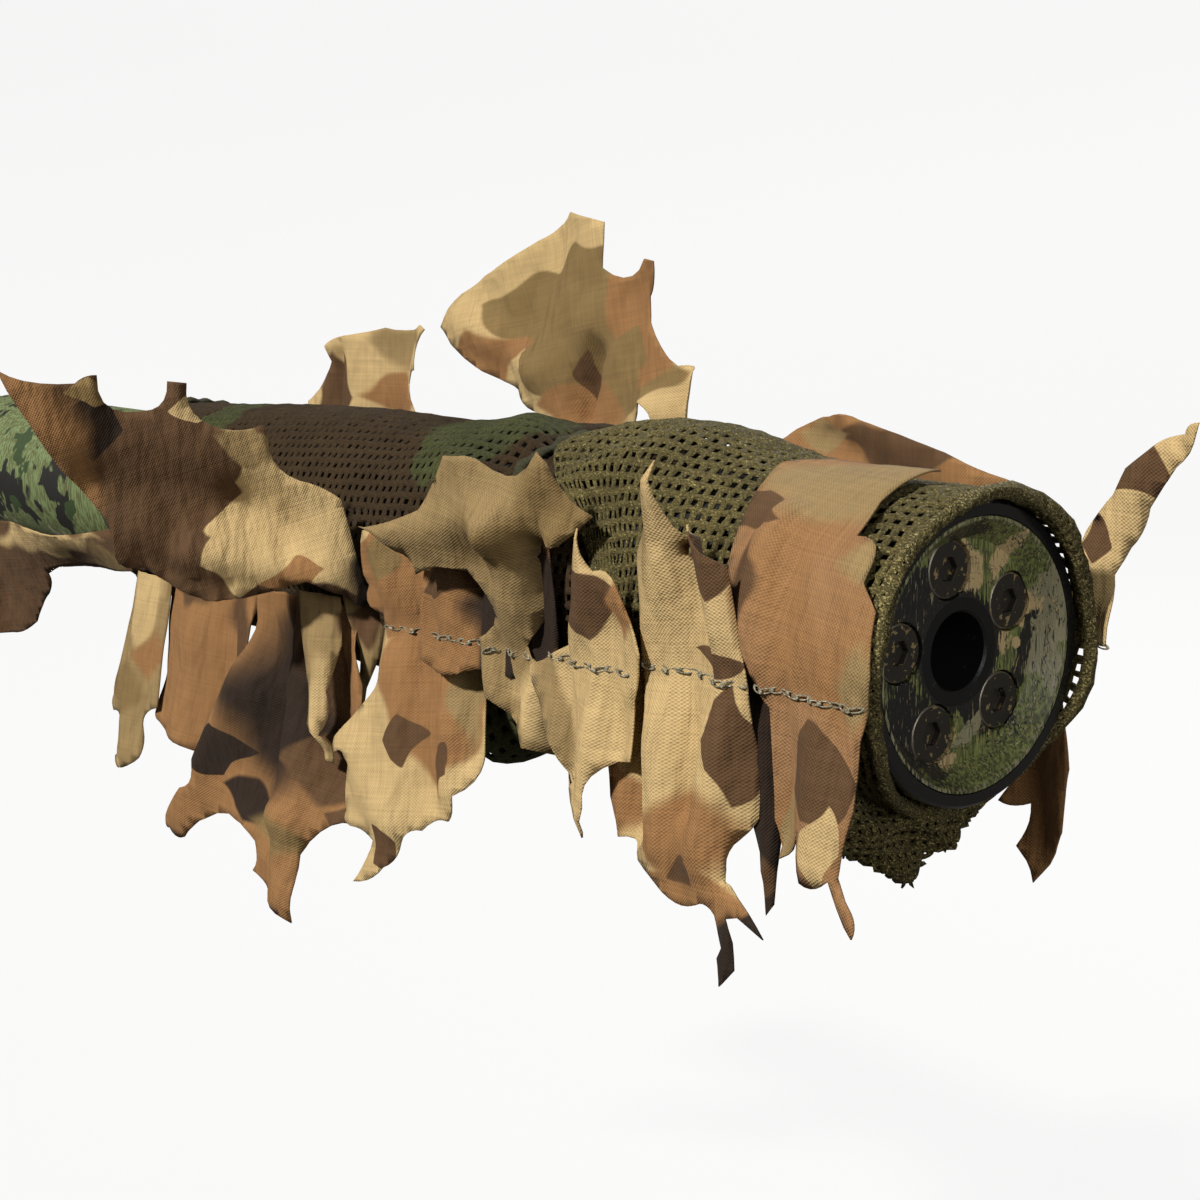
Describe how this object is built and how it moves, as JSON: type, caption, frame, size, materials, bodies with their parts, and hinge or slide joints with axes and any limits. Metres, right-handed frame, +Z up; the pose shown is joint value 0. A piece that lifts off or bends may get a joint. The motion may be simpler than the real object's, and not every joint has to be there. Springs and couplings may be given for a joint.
{
  "type": "training bumper",
  "caption": "Float-cored tube with a painted end plate and blind centre socket, in a pull-on mesh cover sewn with cut camouflage cloth leaves.",
  "frame": {"origin": "centre of the mouth of the blind centre socket, on the sunk face of the front end plate", "axes": "+X out of the front end along the tube's axis, +Z up, +Y to the far side"},
  "size_m": [0.438, 0.1283, 0.1467],
  "materials": {
    "tube_black": "moulded black tube, satin",
    "ring_black": "turned black ring, satin, worn edge",
    "seal_rubber": "black rubber",
    "plate_paint": "brushed-on green, tan and black paint, worn",
    "anchor_alloy": "turned",
    "insert_brass": "turned",
    "screw_black": "black oxide steel, flecked with paint",
    "bush_black": "black, smooth",
    "foam": "closed-cell foam",
    "tail_paint": "brushed-on green, tan and black paint",
    "cap_black": "black, satin",
    "mesh_brown": "knitted mesh printed dark brown and green",
    "mesh_olive": "knitted mesh, olive green",
    "leaf_cloth": "plain-weave cloth printed in tans and browns, edges cut with a hot blade",
    "elastic": "elastic braid",
    "thread": "twisted sewing thread"
  },
  "bodies": {
    "bumper": {"body_tube": "tube_black", "front_ring": "ring_black", "plate_gasket": "seal_rubber", "end_plate": "plate_paint", "anchor_disc": "anchor_alloy", "screw_inserts": "insert_brass", "cap_screws": "screw_black", "centre_bush": "bush_black", "socket_end": "bush_black", "foam_core": "foam", "tail_reducer": "tail_paint", "tail_tube": "tail_paint", "tail_foam": "foam", "rear_cap": "cap_black", "rear_seal": "seal_rubber"},
    "cover": {"big_leaf": "leaf_cloth", "blade_leaf": "leaf_cloth", "curled_leaf": "leaf_cloth", "far_blade_leaf": "leaf_cloth", "far_front_leaf": "leaf_cloth", "far_seam_thread": "thread", "far_small_leaf": "leaf_cloth", "far_tall_leaf": "leaf_cloth", "front_flap": "mesh_olive", "front_hem": "mesh_olive", "front_leaf": "leaf_cloth", "front_sleeve": "mesh_olive", "front_wrap": "leaf_cloth", "hanging_leaf": "leaf_cloth", "mid_elastic": "elastic", "narrow_leaf": "leaf_cloth", "near_seam_thread": "thread", "rear_elastic": "elastic", "rear_sleeve": "mesh_brown", "rear_star_leaf": "leaf_cloth", "rust_leaf": "leaf_cloth", "slim_leaf": "leaf_cloth", "star_leaf": "leaf_cloth", "trailing_leaf": "leaf_cloth"}
  },
  "joints": [
    {"name": "cover_slide", "type": "slide", "parent": "bumper", "child": "cover", "axis": [1, 0, 0], "range_m": [0, 0.28]}
  ]
}
